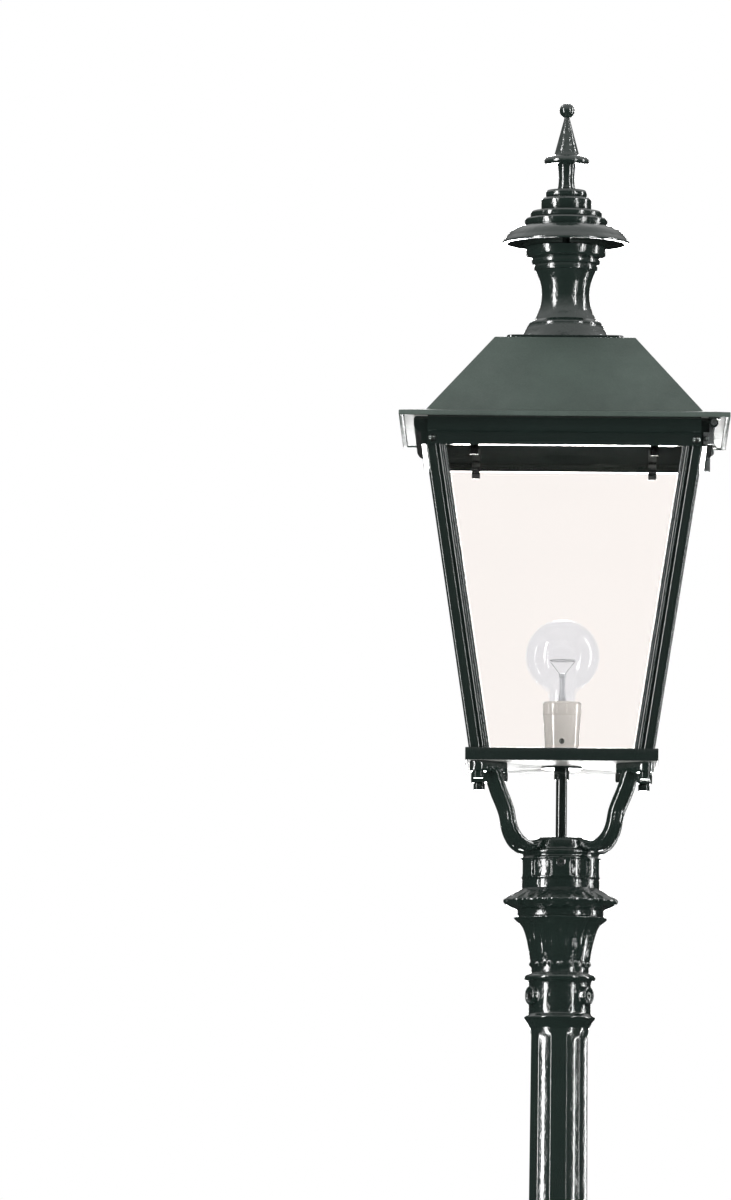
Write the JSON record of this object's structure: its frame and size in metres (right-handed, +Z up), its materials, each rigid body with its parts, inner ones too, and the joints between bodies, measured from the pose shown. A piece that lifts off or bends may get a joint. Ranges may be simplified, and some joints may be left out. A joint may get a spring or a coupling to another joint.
{
  "type": "garden lantern",
  "caption": "Tall garden lamp post: square tapered glazed lantern with a hinged pyramid roof, on a fluted shaft over a leafed baluster and a hexagonal pedestal.",
  "frame": {"origin": "centre of the ground flange's underside, on the ground", "axes": "+Z up along the post, -Y towards the front of the lantern, +X towards the roof's hinge"},
  "size_m": [0.356, 0.356, 2.999],
  "materials": {
    "cast_paint": "gloss",
    "shaft_paint": "gloss",
    "lantern_paint": "gloss",
    "roof_paint": "satin",
    "screw_steel": "satin",
    "spring_steel": "gloss",
    "plate_paint": "satin",
    "pane_glass": "clear",
    "porcelain": "gloss",
    "bulb_glass": "clear",
    "cap_brass": "satin",
    "filament_wire": "satin",
    "zinc_steel": "satin",
    "leaf_steel": "gloss"
  },
  "bodies": {
    "post": {"base_pedestal": "cast_paint", "baluster": "cast_paint", "capital": "cast_paint", "cradle": "cast_paint", "shaft": "shaft_paint", "post_front_left": "lantern_paint", "post_front_right": "lantern_paint", "post_rear_left": "lantern_paint", "post_rear_right": "lantern_paint", "bottom_frame": "lantern_paint", "top_frame": "lantern_paint", "conduit_rod": "lantern_paint", "rod_nuts": "lantern_paint", "rod_washer": "lantern_paint", "cradle_bolts": "lantern_paint", "capital_screws": "screw_steel", "cradle_screws": "screw_steel", "corner_screws": "screw_steel", "clip_screws": "screw_steel", "lampholder_screw": "screw_steel", "hinge_screws": "screw_steel", "pane_clips": "spring_steel", "bottom_plate": "plate_paint", "pane_front": "pane_glass", "pane_right": "pane_glass", "pane_rear": "pane_glass", "pane_left": "pane_glass", "lampholder_body": "porcelain", "lampholder_ring": "porcelain", "bulb_glass": "bulb_glass", "bulb_stem": "bulb_glass", "bulb_cap": "cap_brass", "bulb_filament": "filament_wire", "hinge_frame_leaves": "zinc_steel", "hinge_pins": "zinc_steel"},
    "roof": {"roof": "roof_paint", "ceiling_plate": "plate_paint", "ceiling_screws": "screw_steel", "chimney": "roof_paint", "chimney_screws": "screw_steel", "chimney_cap": "lantern_paint", "cap_rod": "zinc_steel", "cap_nuts": "zinc_steel", "finial": "lantern_paint", "hinge_roof_leaves": "leaf_steel"}
  },
  "joints": [
    {"name": "roof_hinge", "type": "hinge", "parent": "post", "child": "roof", "pos_m": [0.16048, 0, 2.634], "axis": [0, 1, 0], "range_deg": [0, 100]}
  ]
}
